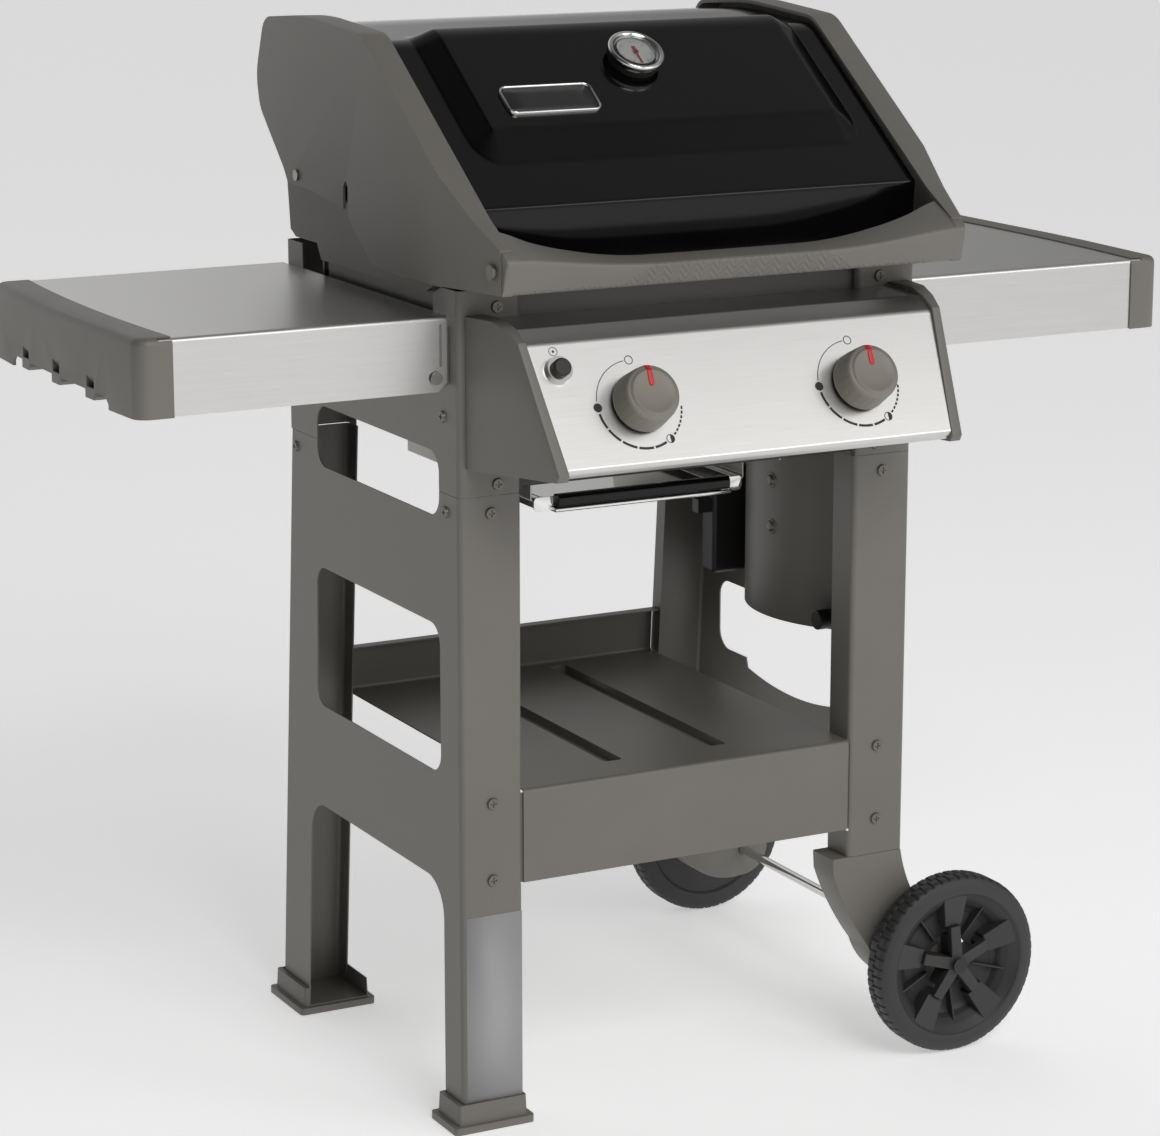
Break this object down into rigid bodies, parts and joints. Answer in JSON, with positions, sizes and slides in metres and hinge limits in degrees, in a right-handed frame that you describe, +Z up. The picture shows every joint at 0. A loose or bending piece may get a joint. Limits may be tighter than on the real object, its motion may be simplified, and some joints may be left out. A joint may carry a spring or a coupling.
{
  "type": "gas barbecue grill",
  "caption": "Gas barbecue grill on a wheeled cart, with a hinged lid, folding side table, control knobs, bottom shelf and drip pan.",
  "frame": {"origin": "on the floor, under the middle of the overall width and depth", "axes": "+Z up, -Y towards the control panel and handle, +X towards the wheels"},
  "size_m": [1.222, 0.7126, 1.1395],
  "materials": {
    "leg_steel": "powder coated, satin, slate grey",
    "frame_steel": "powder coated, satin, slate grey",
    "bar_steel": "painted dark grey, satin",
    "shelf_steel": "powder coated, satin, slate grey",
    "stainless": "brushed along the width",
    "panel_stainless": "brushed along the width",
    "enamel": "gloss porcelain enamel, black",
    "cap_paint": "satin slate grey",
    "box_paint": "satin slate grey",
    "black_plastic": "moulded, fine grain",
    "end_plastic": "moulded, fine grain, slate grey",
    "knob_plastic": "moulded, fine grain, taupe",
    "wheel_plastic": "moulded, dull, dark grey",
    "bright_steel": "bright",
    "zinc": "zinc plated",
    "brass": "machined",
    "cast_iron": "enamelled, matt",
    "aluminised": "dull",
    "red_needle": "painted red",
    "clear_glass": "clear",
    "rubber": "soft, matt"
  },
  "bodies": {
    "cart": {"side_frame_left": "leg_steel", "side_frame_right": "leg_steel", "upper_frame_left": "frame_steel", "upper_frame_right": "frame_steel", "front_crossbar": "bar_steel", "rear_crossbar": "bar_steel", "pan_rails": "zinc", "bottom_shelf": "shelf_steel", "wheel_leg_front": "end_plastic", "wheel_leg_rear": "end_plastic", "wheel_axle": "bright_steel", "axle_caps": "black_plastic", "foot_front": "end_plastic", "foot_rear": "end_plastic", "frame_screws": "zinc", "tank_shield": "leg_steel", "tank_scale": "black_plastic", "tank_bumper": "rubber", "table_top_right": "stainless", "table_end_right": "end_plastic", "table_ribs_right": "zinc", "table_brackets_left": "zinc", "table_brackets_right": "zinc", "panel_face": "panel_stainless", "panel_cap_left": "end_plastic", "panel_cap_right": "end_plastic", "valves": "brass", "gas_manifold": "aluminised", "igniter_bezel": "bright_steel", "igniter_module": "black_plastic", "cookbox": "box_paint", "burners": "aluminised", "heat_bars": "cast_iron", "grates": "cast_iron", "warming_rack": "bright_steel", "lid_hinge_pins": "zinc"},
    "lid": {"lid_shell": "enamel", "lid_cap_left": "cap_paint", "lid_cap_right": "cap_paint", "lid_handle": "end_plastic", "handle_bolts": "zinc", "gauge_housing": "black_plastic", "gauge_glass": "clear_glass"},
    "needle": {"gauge_needle": "red_needle"},
    "table_left": {"table_top_left": "stainless", "table_end_left": "end_plastic", "table_ribs_left": "zinc"},
    "front_wheel": {"wheel_front": "wheel_plastic"},
    "rear_wheel": {"wheel_rear": "wheel_plastic"},
    "seat_left": {"stem_washer_left": "zinc"},
    "dial_left": {"knob_left": "knob_plastic", "valve_stem_left": "brass"},
    "seat_right": {"stem_washer_right": "zinc"},
    "dial_right": {"knob_right": "knob_plastic", "valve_stem_right": "brass"},
    "igniter": {"igniter_button": "black_plastic"},
    "pan": {"catch_pan": "bright_steel", "catch_pan_lip": "enamel"},
    "tray": {"grease_tray": "aluminised"}
  },
  "joints": [
    {"name": "lid_hinge", "type": "hinge", "parent": "cart", "child": "lid", "pos_m": [0, 0.16976, 0.969], "axis": [-1, 0, 0], "range_deg": [0, 75]},
    {"name": "needle_pivot", "type": "hinge", "parent": "lid", "child": "needle", "pos_m": [0, -0.06894, 1.1096], "axis": [0, 0.5735, -0.8192], "range_deg": [0, 250]},
    {"name": "left_table_fold", "type": "hinge", "parent": "cart", "child": "table_left", "pos_m": [-0.286, 0.03476, 0.8025], "axis": [0, -1, 0], "range_deg": [0, 90]},
    {"name": "front_wheel_spin", "type": "hinge", "parent": "cart", "child": "front_wheel", "pos_m": [0.3195, -0.22124, 0.1016], "axis": [0, 1, 0], "continuous": true},
    {"name": "rear_wheel_spin", "type": "hinge", "parent": "cart", "child": "rear_wheel", "pos_m": [0.3195, 0.33576, 0.1016], "axis": [0, 1, 0], "continuous": true},
    {"name": "left_knob_push", "type": "slide", "parent": "cart", "child": "seat_left", "axis": [0, 0.8731, -0.4876], "range_m": [0, 0.003], "stiffness_N_per_m": 1500, "springref_m": -0.002},
    {"name": "left_knob_turn", "type": "hinge", "parent": "seat_left", "child": "dial_left", "pos_m": [-0.1275, -0.31064, 0.7848], "axis": [0, -0.8731, 0.4876], "range_deg": [0, 255]},
    {"name": "right_knob_push", "type": "slide", "parent": "cart", "child": "seat_right", "axis": [0, 0.8731, -0.4876], "range_m": [0, 0.003], "stiffness_N_per_m": 1500, "springref_m": -0.002},
    {"name": "right_knob_turn", "type": "hinge", "parent": "seat_right", "child": "dial_right", "pos_m": [0.1275, -0.31064, 0.7848], "axis": [0, -0.8731, 0.4876], "range_deg": [0, 255]},
    {"name": "igniter_push", "type": "slide", "parent": "cart", "child": "igniter", "axis": [0, 0.8731, -0.4876], "range_m": [0, 0.004], "stiffness_N_per_m": 1500, "springref_m": -0.002},
    {"name": "pan_slide", "type": "slide", "parent": "cart", "child": "pan", "axis": [0, -1, 0], "range_m": [0, 0.28]},
    {"name": "tray_slide", "type": "slide", "parent": "cart", "child": "tray", "axis": [0, 1, 0], "range_m": [0, 0.3]}
  ]
}
